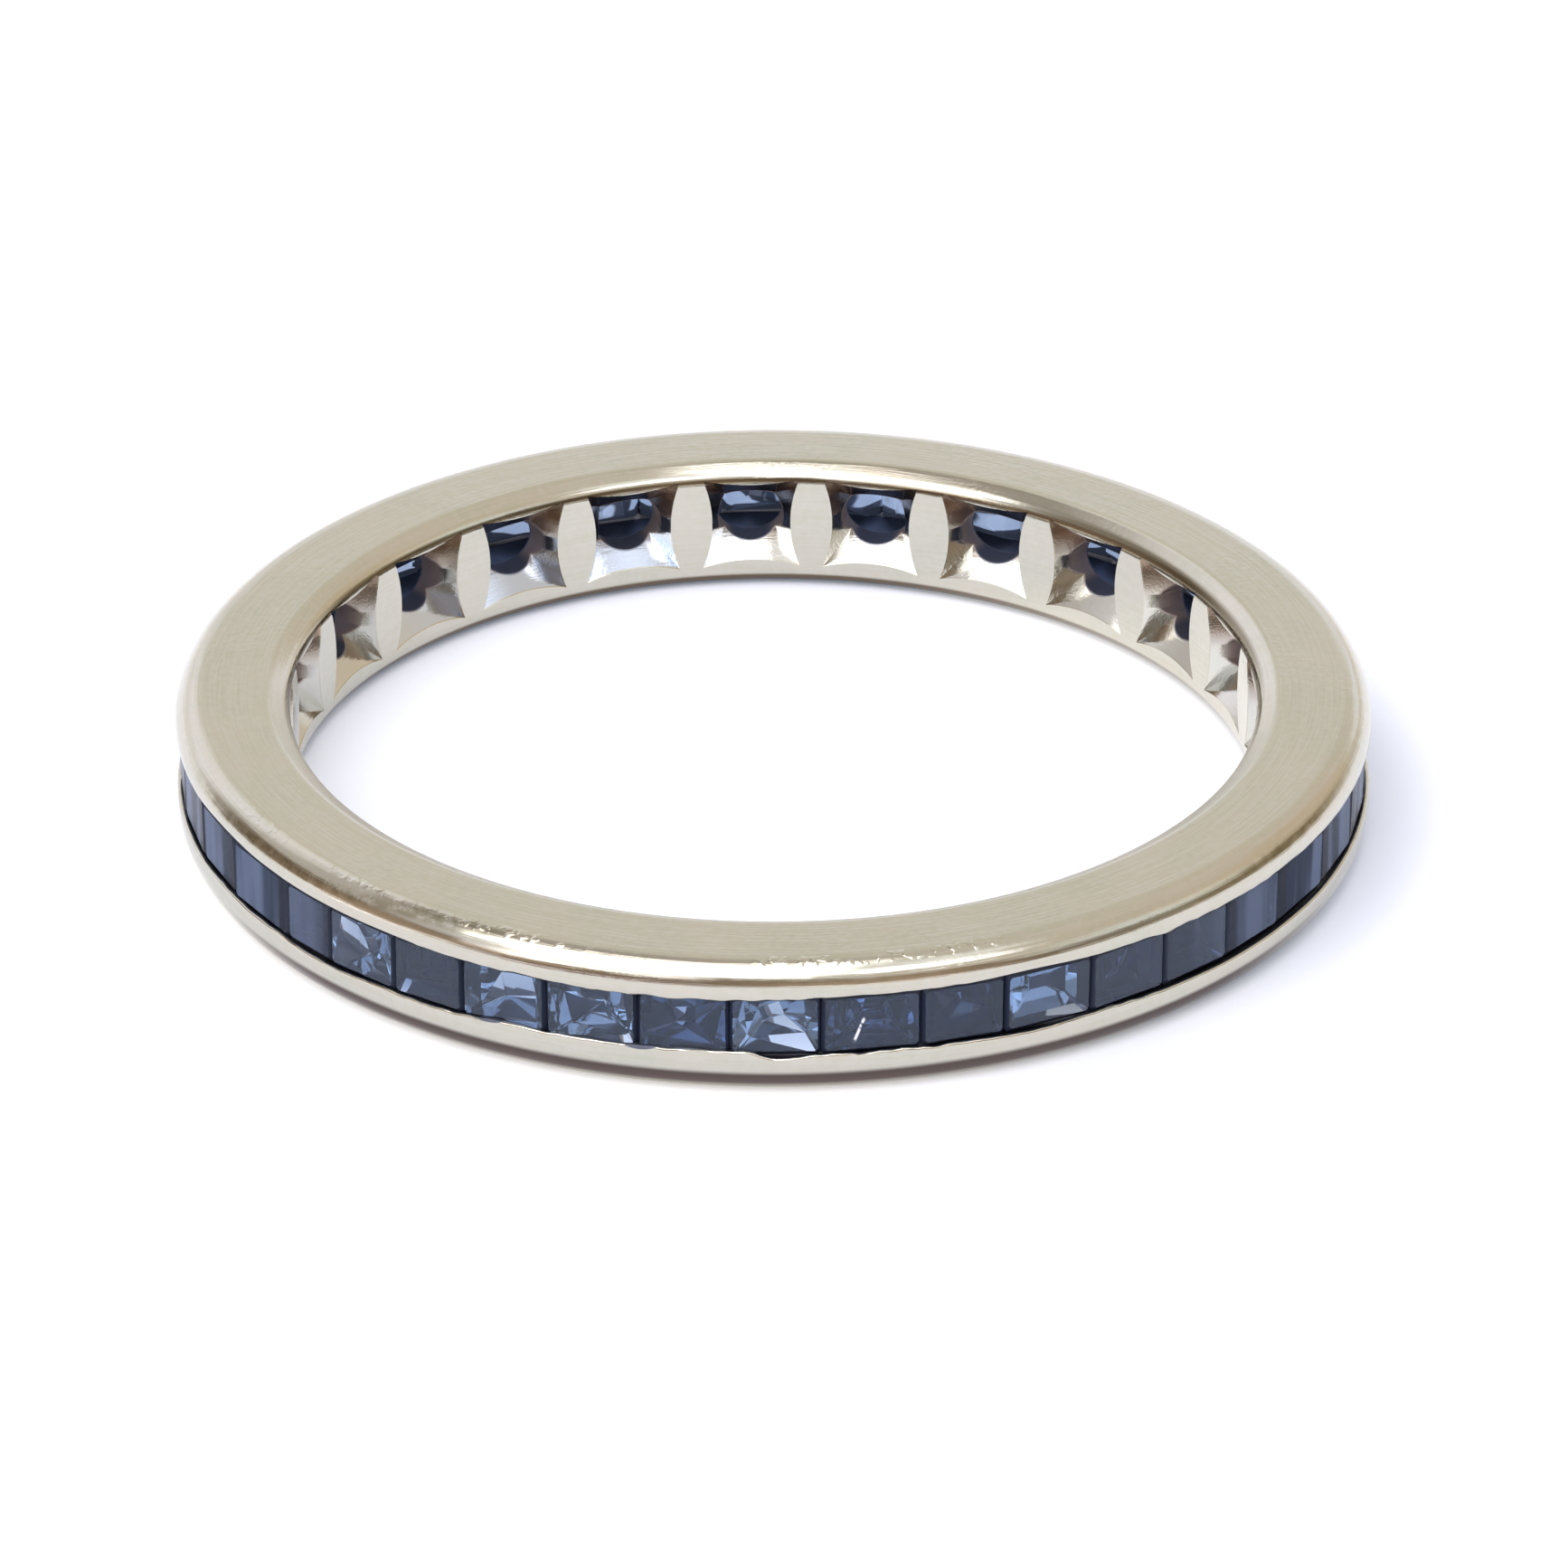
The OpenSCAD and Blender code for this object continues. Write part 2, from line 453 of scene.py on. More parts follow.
STREAK_Z = 2.17
STREAK_RISE = 0.17
STREAK_HALF = (0.03, 0.11)
STREAK_R = (9.98, 10.06)
STREAK_HIGH = (-36, 30, 10)
STREAK_LEFT = (-64, -22, 7)
STREAK_RIGHT = (54, 70, 7)
RIM_LINE_Z = (2.10, 2.18, 0.02)
RIM_LINE_R = (8.43, 8.47)
RIM_SHADE_Z = (2.15, 2.28, 0.03)
RIM_SHADE_R = (8.55, 8.61)
RIM_SHADED = (98, 152, 10)
DRILLED_HIGH_Z = (0.85, 0.98)
CHANNEL_NEAR_R = (9.8, 10.0)
DENT_Z = (2.2, 2.3)
DENT_R = (9.97, 10.14, 0.05)
DENTED = (-56, 26, 6)
MOST_DENTED = (3, 24, 5)
DULL_Z = (2.0, 2.1)
RIM_DULL = (-84, 84, 8)
TO_DEGREES = 180 / math.pi

gold, f = new_finish("white_gold")
place = f.add("ShaderNodeTexCoord", output=3)
x, y, z = f.split(place)
radius = (x * x + y * y) ** 0.5 * TO_MM
height = z * TO_MM
angle = y.then("ARCTAN2", x)
turn = x.then("ARCTAN2", 0 - y) * TO_DEGREES

# Two golds in clouds, under fine lines that run round the ring
lines = f.grain(f.joined(angle * 6, radius * 22, height * 22), 1.0, 3.0, 0.6)
speckle = f.grain(place, SPECKLE_SCALE, 2.0, 0.6)
cloud = f.grain(place, CLOUD_SCALE, 3.0, 0.55)
colour = f.mix(f.ramp(cloud, 0.36, 0.64), COOL_GOLD, WARM_GOLD)
colour = f.mix(f.ramp(lines * 0.6 + speckle * 0.4, 0.32, 0.68), colour, LINE_GOLD)
# The top face is painted a little darker and warmer: painted shade
colour = f.tinted(f.ramp(height, WIDTH - 0.04, WIDTH - 0.002), colour, TOP_FACE_SHADE_TINT)

# The walls of the windows are a paler gold: painted light
sawn = f.between(radius, BORE_R + 0.02, CHANNEL_FLOOR_R - 0.03, 0.01)
sawn = sawn * f.between(height, *SAWN_Z)
colour = f.mix(sawn, colour, SAWN_GOLD)
# Higher up the walls are painted darker and pinker: painted shade
colour = f.tinted(sawn * f.ramp(height, *SAWN_HIGH_Z), colour, SAWN_HIGH_SHADE_TINT)
# Low on the left back the walls are painted paler and bluer: a painted reflection
left_low_reflection = sawn * f.fall(height, *SAWN_LOW_Z) * f.between(turn, *LEFT_BACK)
colour = f.tinted(left_low_reflection, colour, SAWN_LEFT_REFLECTION_TINT)

# Painted shade lies low on the front of the lower rail and round the foot of the finger hole
front = f.between(turn, *FRONT) * f.ramp(radius, *FRONT_R)
# Painted shade: the underside at the front is darker, with a dark band of painted shade above
# it
colour = f.tinted(front * f.fall(height, *UNDERSIDE_Z), colour, UNDERSIDE_SHADE_TINT)
contact_shade = f.fall(height, *CONTACT_SHADE_HIGH_Z) * f.ramp(height, *CONTACT_SHADE_LOW_Z) * front
colour = f.mix(contact_shade, colour, CONTACT_SHADE)
# Painted shade round the foot of the finger hole, lighter at the right back
hole_foot_shade = f.fall(height, *HOLE_FOOT_SHADE_HIGH_Z) * f.ramp(height, *HOLE_FOOT_SHADE_LOW_Z)
hole_foot_shade = hole_foot_shade * f.fall(radius, *HOLE_FOOT_SHADE_R)
hole_foot_shade = hole_foot_shade * (1 - 0.4 * f.between(turn, *RIGHT_BACK))
colour = f.mix(hole_foot_shade, colour, HOLE_FOOT_SHADE)

# A streak of painted dark reflection climbs across the near shoulder, and a thin line of
# painted dark reflection runs round the inner rim
off_streak = height - STREAK_Z - STREAK_RISE * f.between(turn, *STREAK_HIGH)
painted_streak = f.fall(off_streak.then("ABSOLUTE"), *STREAK_HALF) * f.ramp(radius, *STREAK_R)
painted_streak = painted_streak * (f.between(turn, *STREAK_LEFT) + 0.7 * f.between(turn, *STREAK_RIGHT))
painted_streak = painted_streak * f.ramp(f.grain(place, STREAK_REFLECTION_SCALE, 3.0, 0.7), 0.34, 0.62)
colour = f.mix(painted_streak * 0.62, colour, STREAK_REFLECTION)
# The rim's line of painted dark reflection, broader at the right back
rim_line = f.between(height, *RIM_LINE_Z) * f.fall(radius, *RIM_LINE_R)
rim_shade = f.between(height, *RIM_SHADE_Z) * f.between(turn, *RIM_SHADED)
rim_line = rim_line.then("MAXIMUM", rim_shade * f.fall(radius, *RIM_SHADE_R))
colour = f.mix(rim_line * 0.8, colour, RIM_DARK_REFLECTION)

# Painted shade darkens the drilled holes, most in their lower part, and the channel behind
# the stones
sector_turn = (angle * TO_DEGREES).then("FLOORED_MODULO", SECTOR)
beside = (sector_turn - SECTOR / 2) * radius * (1 / TO_DEGREES / DRILL_STRETCH)
from_axis = (beside ** 2 + (height - CHANNEL_Z) ** 2) ** 0.5
drilled = f.fall(from_axis, DRILL_D / 2 + 0.006, DRILL_D / 2 + 0.03)
drilled = drilled * f.ramp(radius, BORE_R + 0.1, BORE_R + 0.4)
drilled_tone = f.mix(f.ramp(height, *DRILLED_HIGH_Z), DRILLED_LOW, DRILLED_HIGH)
colour = f.mix(drilled, colour, drilled_tone)
# Painted shade in the channel behind the stones, darkest next to the lips
channel = f.between(radius, CHANNEL_FLOOR_R - 0.03, LIP_IN_R + 0.015, 0.01)
channel = channel * f.between(
    height, CHANNEL_Z - HALF_SEAT - 0.01, CHANNEL_Z + HALF_SEAT + 0.01, 0.01
)
channel_tone = f.mix(f.ramp(radius, *CHANNEL_NEAR_R), CHANNEL_DEEP, CHANNEL_NEAR)
colour = f.mix(channel, colour, channel_tone)

# Nicks where the metal is worn, and dents along the top of the near shoulder
worn = f.ramp(f.grain(place, WEAR_SCALE, 1.0), 0.50, 0.62)
nicks = f.grain(place, NICK_SCALE, 2.0, 0.5) * worn
around = f.grain(f.joined(angle * 2.2, 4.0, 0.0), 1.0, 1.0)
around = around + 0.2 * f.between(turn, *MOST_DENTED)
dents = f.ramp(f.grain(place, DENT_SCALE, 1.0), 0.50, 0.66) * f.ramp(around, 0.46, 0.56)
dents = dents * f.between(radius, *DENT_R) * f.ramp(height, *DENT_Z)
dents = dents * f.between(turn, *DENTED)

# Polished shoulders and rims, a brushed side, and a duller inner rim at the front
brushed = f.between(radius, BORE_R + EASED_IN + 0.01, OUTER_R - SHOULDER_R + 0.01, 0.03)
dull_rim = f.fall(radius, BORE_R + EASED_IN - 0.02, BORE_R + EASED_IN + 0.04)
dull_rim = dull_rim * f.ramp(height, *DULL_Z) * f.between(turn, *RIM_DULL)
roughness = 0.06 + 0.08 * lines + 0.07 * brushed + 0.28 * dull_rim
roughness = roughness + 0.3 * channel + 0.45 * drilled
shader = f.add("ShaderNodeBsdfPrincipled", None, {
    "Base Color": colour, "Metallic": 1.0, "Roughness": roughness,
    "Normal": f.add("ShaderNodeBump", None, {
        "Strength": 0.16, "Distance": 0.02 * MM, "Height": lines + nicks + dents * 7,
    }),
})
f.add("ShaderNodeOutputMaterial", None, {"Surface": shader})
band.data.materials.clear()
band.data.materials.append(gold)
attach(band, "root")
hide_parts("band")


# The stones are 42 square step-cut sapphires, calibre cut and set edge to edge
# in the channel. Most are a dark slate blue, and a few are paler and flash light
# blue. Each was ground to fit its place, so the widths and the backs differ.

STONE_SHARES = (
    84, 93, 81, 89, 84, 82, 82, 90, 86, 84, 87,
    85, 88, 86, 90, 84, 87, 89, 85, 86, 88, 83,
    87, 90, 86, 84, 88, 87, 85, 89, 86, 84, 86,
    88, 82, 98, 64, 82, 77, 86, 88, 85,
)
FIRST_STONE_TURN = 4.9
TABLE_DEPTH = 0.09
CROWN_DEPTH = 0.09
GIRDLE_THICK = 0.08
GIRDLE_BOTTOM = CROWN_DEPTH + GIRDLE_THICK
TABLE_HALF_H = 0.48
GIRDLE_HALF_H = 0.58
CROWN_IN = 0.05
STONE_GAP = 0.004
CORNER_CLIP = 0.05
CULET_DEPTH = 0.93
# How the steps of a back narrow, and how far each may stray from a true cut
TAPER = 0.75
TAPER_POWER = 1.5
STEP_SPREAD = 0.08
STEP_SIZE = (0.82, 1.02)
STEP_SHIFT = (0.08, 0.06)
STEP_TWIST = 0.12
CULET_SPREAD = 0.15
CULET_SIZE = (0.15, 0.6)
CULET_SHIFT = (0.10, 0.08)
CULET_TWIST = 0.3
TABLE_LEAN = 0.015


def stepped_down(bm, face, depth, scale, shift=(0, 0), tilt=0.0):
    """Carries a face down to a depth below the table, resized, shifted and tilted."""
    made = bmesh.ops.extrude_face_region(bm, geom=[face])["geom"]
    if face.calc_center_median().z < 0:
        bmesh.ops.delete(bm, geom=[face], context="FACES_ONLY")
    face = next(e for e in made if isinstance(e, bmesh.types.BMFace))
    verts = face.verts[:]
    middle = face.calc_center_median()
    bmesh.ops.scale(
        bm, vec=(scale[0], scale[1], 1), space=Matrix.Translation(-middle), verts=verts,
    )
    bmesh.ops.rotate(
        bm, cent=middle, matrix=Matrix.Rotation(tilt, 3, "Z"), verts=verts,
    )
    bmesh.ops.translate(bm, vec=(shift[0], shift[1], -depth - middle.z), verts=verts)
    return face


def step_cut(name, width, seed, steps, unevenness):
    """A square stone, its table up and its middle at the origin, its back in uneven steps."""
    chance = random.Random(seed)

    def stray(most):
        return chance.uniform(-most, most)

    bm = bmesh.new()
    bmesh.ops.create_grid(bm, x_segments=1, y_segments=1, size=1)
    table_half_w = width / 2 - CROWN_IN
    bmesh.ops.scale(bm, vec=(table_half_w, TABLE_HALF_H, 1), verts=bm.verts[:])
    bmesh.ops.bevel(
        bm, geom=bm.verts[:], offset=CORNER_CLIP, offset_type="OFFSET", segments=1,
        profile=0.5, affect="VERTICES", material=-1,
    )
    face = bm.faces[:][0]
    girdle = (width / 2 / table_half_w, GIRDLE_HALF_H / TABLE_HALF_H)
    face = stepped_down(bm, face, CROWN_DEPTH, girdle)
    face = stepped_down(bm, face, GIRDLE_BOTTOM, (1, 1))
    size = 1.0
    for step in range(1, steps + 1):
        share = step / (steps + 1)
        smaller = 1 - TAPER * share ** TAPER_POWER
        depth = GIRDLE_BOTTOM + (CULET_DEPTH - GIRDLE_BOTTOM) * share + stray(STEP_SPREAD)
        scale = [smaller / size * chance.uniform(*STEP_SIZE) for _ in range(2)]
        shift = [stray(most) for most in STEP_SHIFT]
        face = stepped_down(bm, face, depth, scale, shift, stray(STEP_TWIST))
        size = smaller
        for vert in face.verts:
            vert.co += Vector([stray(unevenness) for _ in range(3)])
    depth = CULET_DEPTH - chance.uniform(0, CULET_SPREAD)
    scale = [chance.uniform(*CULET_SIZE)] * 2
    shift = [stray(most) for most in CULET_SHIFT]
    stepped_down(bm, face, depth, scale, shift, stray(CULET_TWIST))
    bm.normal_update()
    backs = []
    for face in bm.faces:
        middle = face.calc_center_median()
        if middle.z < -GIRDLE_BOTTOM - 0.01:
            backs.append(face)
        elif middle.z < -0.001:
            face.material_index = 1
    bmesh.ops.triangulate(bm, faces=backs)
    for axis in "XY":
        lean = Matrix.Rotation(stray(TABLE_LEAN), 3, axis)
        bmesh.ops.rotate(bm, cent=(0, 0, 0), matrix=lean, verts=bm.verts[:])
    bmesh.ops.recalc_face_normals(bm, faces=bm.faces[:])
    if bm.calc_volume(signed=True) < 0:
        bmesh.ops.reverse_faces(bm, faces=bm.faces[:])
    across = bm.verts.layers.float.new("across")
    for vert in bm.verts:
        vert[across] = vert.co.x / (width / 2)
    return made_object(name, bm)


CLEAR = 0.97
INDEX = 1.7
GLEAM = (0.5, 0.62, 0.85, 1)
# A stone seen edge on turns to an opaque finish, with painted streaks of reflected light
# across it and dark joints
EDGE_DARK = (0.016, 0.027, 0.055, 1)
EDGE_PALE = (0.115, 0.15, 0.245, 1)
JOINT_DARK = (0.012, 0.015, 0.03, 1)
# The polished back of a far stone: dark, with pale patches of painted light that glow where
# light would come through
BACK_DARK = (0.05, 0.06, 0.09, 1)
BACK_PALE_LIGHT = (0.3, 0.37, 0.5, 1)
BACK_GLOW_DARK = (0.018, 0.023, 0.036, 1)
BACK_GLOW_PALE = (0.27, 0.35, 0.52, 1)
PATCH_SCALE = 1500.0
# The scratch on a table: its turn, height, direction, half width and ends
SCRATCH_TURN = 0.2193
SCRATCH_Z = 1.17
SCRATCH_ACROSS = 0.363
SCRATCH_UP = 0.932
SCRATCH_WIDTH = (0.012, 0.035)
SCRATCH_ENDS = (-0.21, 0.23, 0.04)
CHALK = (0.85, 0.88, 0.95, 1)


def sapphire(name, tint, deep_colour, density, scratched=False, shows_back=False):
    """Clear tinted stone that darkens with depth and turns solid where it is seen edge on."""
    material, f = new_finish(name)
    clear = f.add("ShaderNodeBsdfPrincipled", None, {
        "Base Color": (*tint, 1), "Roughness": 0.04, "IOR": INDEX,
        "Specular Tint": GLEAM, "Transmission Weight": CLEAR,
    })
    deep = f.add("ShaderNodeVolumeAbsorption", None, {
        "Color": (*deep_colour, 1), "Density": density,
    })
    edge_on = f.ramp(f.add("ShaderNodeLayerWeight", None, {0: 0.5}, 1), 0.28, 0.60)
    outside = 1 - f.add("ShaderNodeNewGeometry", output=6)
    place = f.add("ShaderNodeTexCoord", output=3)
    x, y, z = f.split(place)
    turn = x.then("ARCTAN2", 0 - y)
    outer = f.add("ShaderNodeAttribute", {"attribute_name": "across"}, None, 2)
    outer = outer * turn.then("SIGN")
    # Painted streaks of reflected light, for the stone seen edge on
    streaks = f.grain(f.joined(turn * 19, z * 160, 0.0), 1.0, 2.0)
    painted_streaks = f.mix(f.ramp(streaks + 0.16 * outer, 0.36, 0.66), EDGE_DARK, EDGE_PALE)
    joint = f.ramp(outer, 0.86, 0.97).then("MAXIMUM", f.ramp(0 - outer, 0.56, 0.80))
    solid = f.add("ShaderNodeBsdfPrincipled", None, {
        "Base Color": f.mix(joint, painted_streaks, JOINT_DARK),
        "Roughness": 0.25, "Specular IOR Level": 0.03,
    })
    surface = f.add("ShaderNodeMixShader", None, {
        0: edge_on * outside * 0.95, 1: clear, 2: solid,
    })
    # Far stones' backs, seen through the windows, have patches of painted light that glow
    if shows_back:
        radius = (x * x + y * y) ** 0.5 * TO_MM
        light_patches = f.grain(place, PATCH_SCALE, 1.0) * f.between(z * TO_MM, 1.00, 1.44, 0.12)
        light_patches = f.ramp(light_patches, 0.39, 0.48)
        painted_back = f.add("ShaderNodeBsdfPrincipled", None, {
            "Base Color": f.mix(light_patches, BACK_DARK, BACK_PALE_LIGHT), "Roughness": 0.2,
            "Emission Color": f.mix(light_patches, BACK_GLOW_DARK, BACK_GLOW_PALE),
            "Emission Strength": 1.0,
        })
        surface = f.add("ShaderNodeMixShader", None, {
            0: 0.9 * f.fall(radius, 10.08, 10.16), 1: surface, 2: painted_back,
        })
    if scratched:
        across, up = (turn - SCRATCH_TURN) * (OUTER_R - TABLE_DEPTH), z * TO_MM - SCRATCH_Z
        off_line = across * SCRATCH_UP - up * SCRATCH_ACROSS
        on_line = across * SCRATCH_ACROSS + up * SCRATCH_UP
        scratch = f.fall(off_line.then("ABSOLUTE"), *SCRATCH_WIDTH)
        scratch = scratch * f.between(on_line, *SCRATCH_ENDS)
        scratch = scratch * f.ramp(f.grain(place, NICK_SCALE, 1.0), 0.36, 0.5)
        chalk = f.add("ShaderNodeBsdfPrincipled", None, {
            "Base Color": CHALK, "Roughness": 0.6,
        })
        surface = f.add("ShaderNodeMixShader", None, {0: scratch, 1: surface, 2: chalk})
    f.add("ShaderNodeOutputMaterial", None, {"Surface": surface, "Volume": deep})
    return material


# The crown and girdle of each stone are a nearly black opaque finish: painted shade round
# each stone
CROWN_SHADE_COLOUR = (0.025, 0.033, 0.06, 1)
crown_shade, f = new_finish("sapphire_crown_shade")
shader = f.add("ShaderNodeBsdfPrincipled", None, {
    "Base Color": CROWN_SHADE_COLOUR, "Roughness": 0.3, "Specular IOR Level": 0.3,
})
f.add("ShaderNodeOutputMaterial", None, {"Surface": shader})

DEEP_BLUE = (0.05, 0.22, 0.45)
LIGHT_BLUE = (0.05, 0.25, 0.47)
SAPPHIRES = {
    "dark": sapphire("sapphire_dark", (0.70, 0.80, 1.0), DEEP_BLUE, 3200),
    "mid": sapphire("sapphire_mid", (0.74, 0.83, 1.0), DEEP_BLUE, 1500),
    "scratched": sapphire(
        "sapphire_scratched", (0.74, 0.83, 1.0), DEEP_BLUE, 1500, scratched=True
    ),
    "back": sapphire("sapphire_back", (0.50, 0.60, 0.85), LIGHT_BLUE, 2000, shows_back=True),
    "pale": sapphire("sapphire_pale", (0.78, 0.86, 1.0), LIGHT_BLUE, 900),
}
# The stones at the front: the seed of each cut, its steps, their unevenness and its finish
CUTS = {
    34: (78840, 2, 0.0, "dark"), 35: (7075, 2, 0.09, "dark"), 36: (93631, 2, 0.0, "dark"),
    37: (41887, 1, 0.0, "dark"), 38: (69074, 2, 0.0, "pale"), 39: (20658, 2, 0.06, "dark"),
    40: (41336, 1, 0.03, "pale"), 41: (75564, 2, 0.03, "pale"), 42: (9874, 1, 0.06, "mid"),
    1: (73055, 1, 0.03, "pale"), 2: (1618, 3, 0.09, "scratched"), 3: (27957, 2, 0.09, "dark"),
    4: (25345, 2, 0.0, "pale"), 5: (38129, 3, 0.0, "dark"), 6: (55096, 1, 0.06, "dark"),
    7: (65428, 1, 0.09, "dark"), 8: (81914, 3, 0.09, "dark"), 9: (59282, 2, 0.03, "dark"),
    10: (81544, 1, 0.03, "pale"),
}
FAR_STONES = range(13, 32)
OTHER_STEPS = 2
OTHER_UNEVENNESS = 0.05
girdle_r = OUTER_R - TABLE_DEPTH - CROWN_DEPTH
share_sum = sum(STONE_SHARES)


def stone_place(i):
    """Turn of a stone's middle and its width at the girdle."""
    before = sum(STONE_SHARES[:i - 1]) - STONE_SHARES[0] / 2
    share = STONE_SHARES[i - 1]
    turn = math.radians(FIRST_STONE_TURN + 360 * (before + share / 2) / share_sum)
    return turn, 2 * girdle_r * math.sin(math.pi * share / share_sum) - STONE_GAP


def set_stone(i, seed, steps, unevenness, finish):
    """Cuts a stone and sets it in its place in the channel."""
    turn, width = stone_place(i)
    stone = step_cut(f"gem_{i:02d}", width, seed, steps, unevenness)
    stone.data.transform(
        Matrix.Scale(MM, 4)
        @ Matrix.Rotation(turn, 4, "Z")
        @ Matrix.Translation((0, TABLE_DEPTH - OUTER_R, CHANNEL_Z))
        @ Matrix.Rotation(math.radians(90), 4, "X")
    )
    stone.data.materials.append(SAPPHIRES[finish])
    stone.data.materials.append(crown_shade)
    return stone


for i in range(1, len(STONE_SHARES) + 1):
    plain = (i, OTHER_STEPS, OTHER_UNEVENNESS, "back" if i in FAR_STONES else "mid")
    stone = set_stone(i, *CUTS.get(i, plain))
    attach(stone, "root")
    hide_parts(f"stone_{i:02d}")


# The floor is a large sheet of smooth white paper under even light. A painted shadow
# darkens it to the right of the ring, and painted light glows on it close to the ring at
# the front and inside the ring at the right.

FLOOR_R = 3.0
PAPER = (0.83, 0.84, 0.89, 1)
PAPER_SHADE = (0.69, 0.71, 0.79, 1)
PAPER_LIGHT = (0.118, 0.146, 0.19, 1)
PAPER_BRIGHT = (0.46, 0.46, 0.45, 1)
BRIGHT_TURNS = (-125, 31, 31)
INSIDE_TURNS = (40, 160, 20)
SHADE_TURNS = (62, 150, 16)

bm = bmesh.new()
bmesh.ops.create_circle(bm, cap_ends=True, segments=96, radius=FLOOR_R)
floor = made_object("floor", bm)
paper, f = new_finish("white_paper")
x, y, z = f.split(f.add("ShaderNodeTexCoord", output=3))
out = (x * x + y * y) ** 0.5 * TO_MM
turn = x.then("ARCTAN2", 0 - y) * TO_DEGREES
glow = f.ramp(out, 9.6, 10.0) * f.fall(out, 10.15, 10.8) * f.between(turn, *BRIGHT_TURNS)
inside = f.ramp(out, 6.4, 8.3) * f.fall(out, 8.6, 9.0) * f.between(turn, *INSIDE_TURNS)
glow = glow.then("MAXIMUM", inside * 0.8)
shade = f.ramp(out, 9.6, 10.2) * f.fall(out, 10.4, 12.5) * f.between(turn, *SHADE_TURNS)
shader = f.add("ShaderNodeBsdfPrincipled", None, {
    "Base Color": f.mix(shade, PAPER, PAPER_SHADE),
    "Roughness": 0.9, "Specular IOR Level": 0.2,
    "Emission Color": f.mix(glow, PAPER_LIGHT, PAPER_BRIGHT),
    "Emission Strength": 1.0,
})
f.add("ShaderNodeOutputMaterial", None, {"Surface": shader})
floor.data.materials.append(paper)


# Soft studio light: a pale room with a dim band round it below eye height, and a
# large white panel overhead, whose near part reaches lower on the left.

PHOTO_TURN = math.radians(4.67)
COOL_WALL = (0.98, 0.96, 0.99, 1)
WARM_WALL = (0.79, 0.715, 0.62, 1)
LOW_WALL = (1.15, 1.13, 1.16, 1)
LEFT_BACK_WALL = (1.15, 1.13, 1.22, 1)
LEFT_WALL = (0.60, 0.56, 0.53, 1)
RIGHT_WALL = (0.77, 0.66, 0.52, 1)
DIM_LEFT = (0.28, 0.215, 0.165, 1)
DIM_RIGHT = (0.43, 0.36, 0.24, 1)
OLIVE = (0.47, 0.44, 0.33, 1)
SECOND_PANEL = (2.5, 2.5, 2.7, 1)
NEAR_PANEL = (1.8, 1.75, 1.8, 1)
PANEL = (3.4, 3.4, 3.5, 1)
# Things about the room: turn and rise in degrees, size, and how each tints the light
THINGS = (
    (-78, 12, 0.60, (1.90, 1.90, 1.90)), (18, 16, 0.60, (1.90, 1.90, 1.90)),
    (174, 16, 0.40, (1.33, 1.44, 1.73)), (-42, 20, 0.40, (1.90, 1.90, 1.90)),
    (-132, 68, 0.60, (0.58, 0.55, 0.52)), (78, 24, 0.60, (1.27, 1.47, 1.73)),
    (102, 0, 0.90, (0.62, 0.57, 0.49)), (66, 68, 0.25, (1.55, 1.69, 1.90)),
    (-36, 0, 0.60, (0.53, 0.42, 0.40)), (150, 16, 0.25, (1.29, 1.40, 1.61)),
)
STEEPER = 1.8

world = bpy.data.worlds.new("studio")
world.use_nodes = True
bpy.context.scene.world = world
f = Finish(world.node_tree)
way = f.add("ShaderNodeMapping", {"vector_type": "POINT"}, {
    0: f.add("ShaderNodeTexCoord", output=0), 2: (0, 0, -PHOTO_TURN),
})
x, y, z = f.split(way)
rise = z.then("ARCSINE") * TO_DEGREES
swing = x.then("ARCTAN2", 0 - y) * TO_DEGREES
aside = swing.then("ABSOLUTE")
up = z.then("MAXIMUM", 0.05)
flat_x, flat_y = x / up, y / up

# The walls, cooler on the left and warmer on the right
room = f.mix(f.ramp(x, -0.8, 0.8), COOL_WALL, WARM_WALL)
room = f.mix(f.ramp(rise, -2, 14), LOW_WALL, room)
left_back = f.between(swing, -166, -130, 7) * f.between(rise, 12, 54, 7)
room = f.mix(left_back, room, LEFT_BACK_WALL)
left_wall = f.between(swing, -126, -70, 9) * f.between(rise, 24, 50, 6)
room = f.mix(left_wall * 0.85, room, LEFT_WALL)
right_wall = f.between(swing, 84, 142, 10) * f.between(rise, 12, 40, 6)
room = f.mix(right_wall * 0.9, room, RIGHT_WALL)
band_top = 36 - 0.08 * aside - 0.07 * swing.then("MAXIMUM", 0)
dim = f.ramp(rise, 2, 11) * f.fall(rise - band_top, -5, 5) * f.fall(aside, 112, 138)
room = f.mix(dim, room, f.mix(f.ramp(swing, 60, 110), DIM_LEFT, DIM_RIGHT))
olive = f.fall(((swing + 135) ** 2 + (rise - 54) ** 2) ** 0.5, 8, 24)
room = f.mix(olive * 0.25, room, OLIVE)

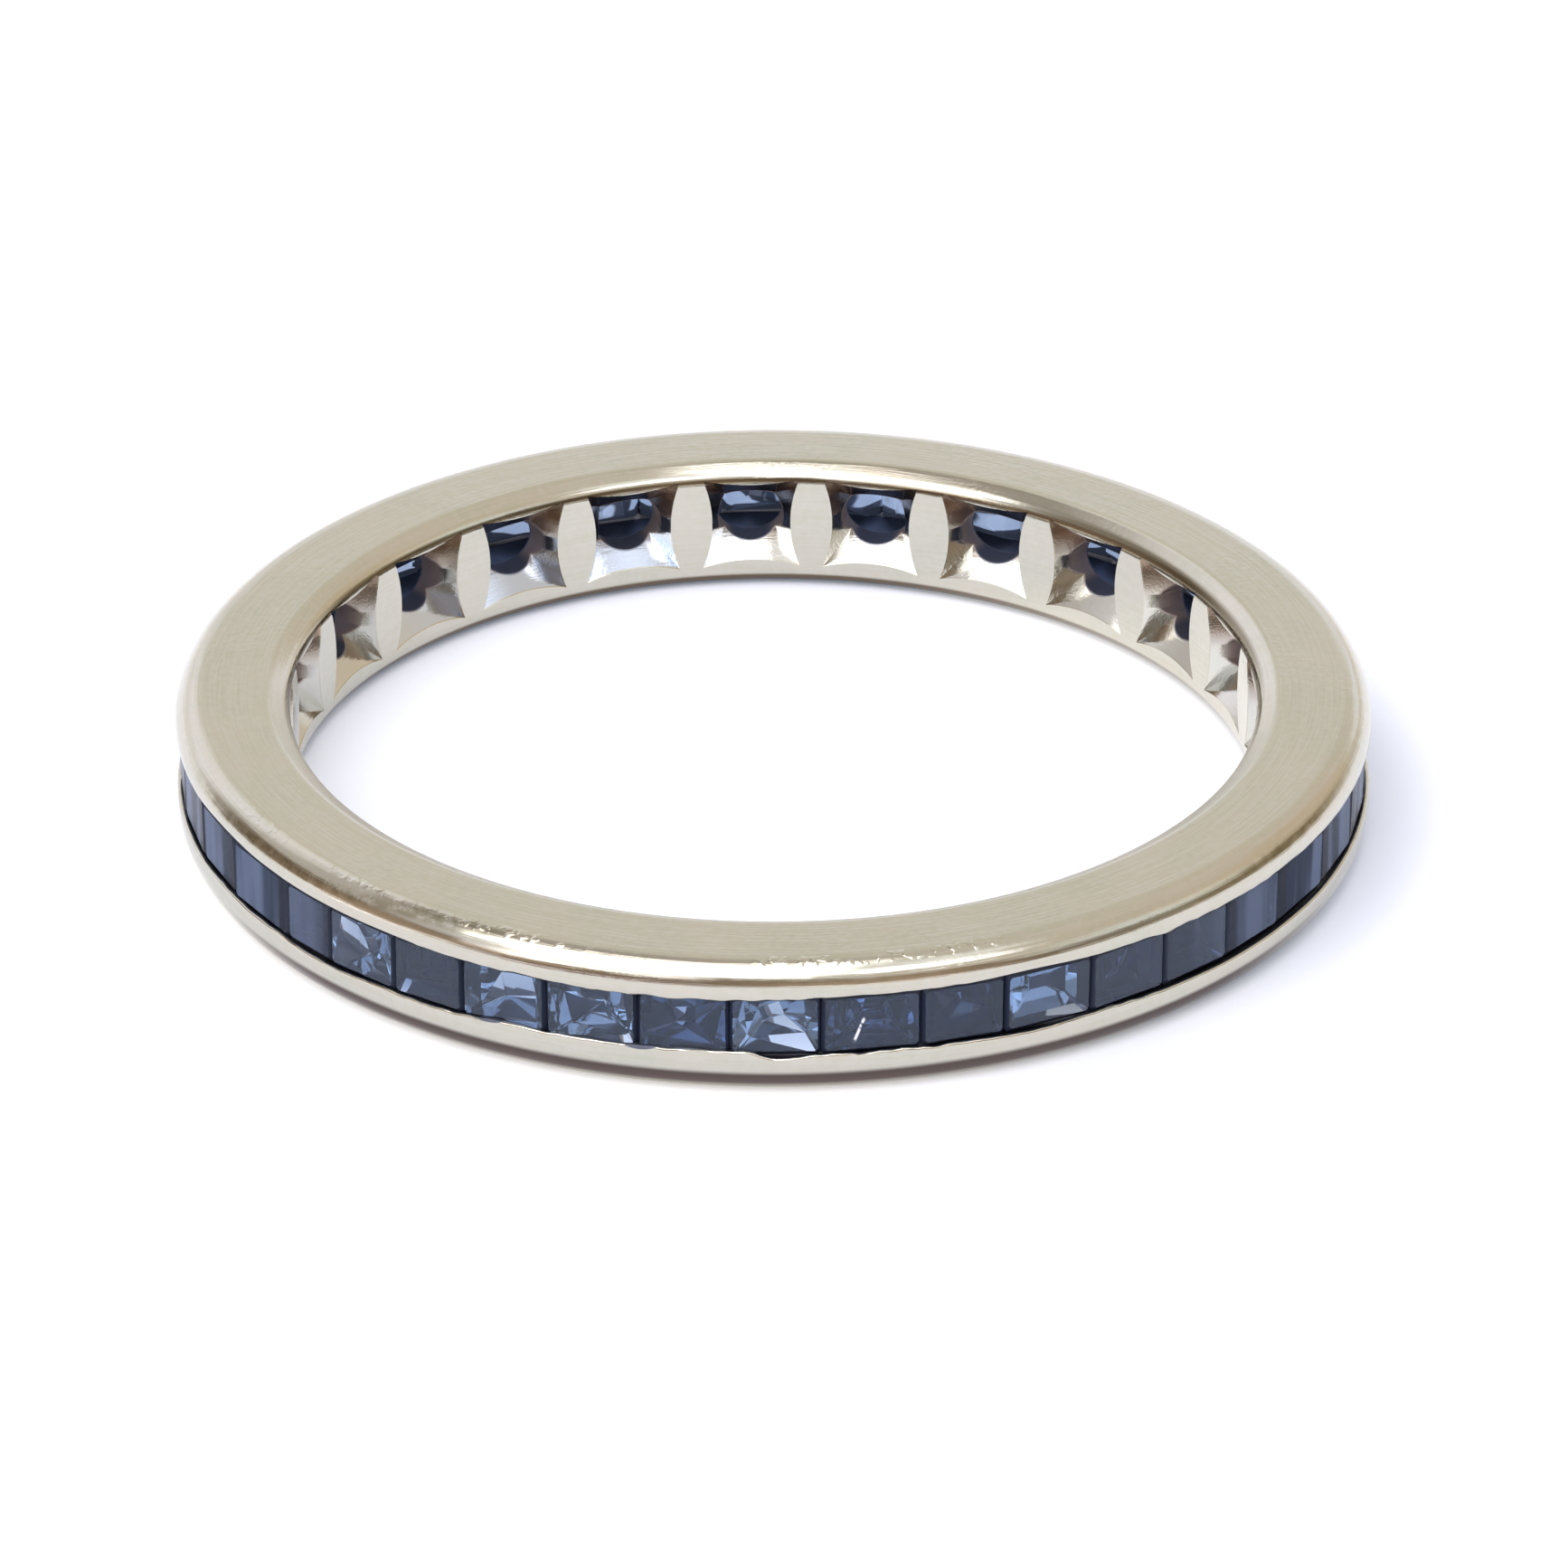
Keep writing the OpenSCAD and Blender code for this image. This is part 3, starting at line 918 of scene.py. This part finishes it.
# The panels: a small one at the right, the low near part, and the large one overhead
second = f.between(flat_x, 0.2, 0.75, 0.10) * f.between(flat_y, -0.90, -0.40, 0.08)
room = f.mix(second * 0.95, room, SECOND_PANEL)
near_left = f.between(swing, -58, -14, 6) * f.between(rise, 23, 50, 4)
room = f.mix(near_left, room, NEAR_PANEL)
panel = (
    f.fall(flat_x, 0.09, 0.21) * f.fall(flat_y, 0.10, 0.24)
    * f.fall(flat_y - 1.03 * flat_x, 0.52, 0.70)
    * f.ramp(flat_x, -0.95, -0.75)
    * f.ramp(rise, 38, 44)
)
room = f.mix(panel, room, PANEL)
steep = f.add("ShaderNodeMapping", {"vector_type": "POINT"}, {0: way, 3: (1, 1, STEEPER)})
for at, above, size, tint in THINGS:
    at, above = math.radians(at), math.radians(above)
    middle = (
        math.cos(above) * math.sin(at), -math.cos(above) * math.cos(at),
        STEEPER * math.sin(above),
    )
    far = f.add("ShaderNodeVectorMath", {"operation": "DISTANCE"}, {0: steep, 1: middle}, 1)
    room = f.tinted(f.fall(far, 0.2 * size, size), room, tint)
sky = f.add("ShaderNodeBackground", None, {"Color": room, "Strength": 1.0})
f.add("ShaderNodeOutputWorld", None, {"Surface": sky})


# The camera stands where the photographer's phone was, close enough to the ring
# for its near side to look larger.

LENS = 198.7
SENSOR = 36.0
ELEVATION = math.radians(27.91)
DISTANCE = 151.66 * MM
AIM = Vector((0.185, 0.168, 0.317)) * MM
camera_data = bpy.data.cameras.new("camera")
camera_data.lens = LENS
camera_data.sensor_width = SENSOR
camera_data.sensor_fit = "HORIZONTAL"
camera_data.clip_start = 0.01
camera_data.clip_end = 20
camera = bpy.data.objects.new("camera", camera_data)
bpy.context.scene.collection.objects.link(camera)
camera.matrix_world = (
    Matrix.Rotation(PHOTO_TURN, 4, "Z")
    @ Matrix.Translation(AIM)
    @ Matrix.Rotation(math.radians(90) - ELEVATION, 4, "X")
    @ Matrix.Translation((0, 0, DISTANCE))
)
bpy.context.scene.camera = camera
bpy.context.scene.view_settings.view_transform = "Standard"
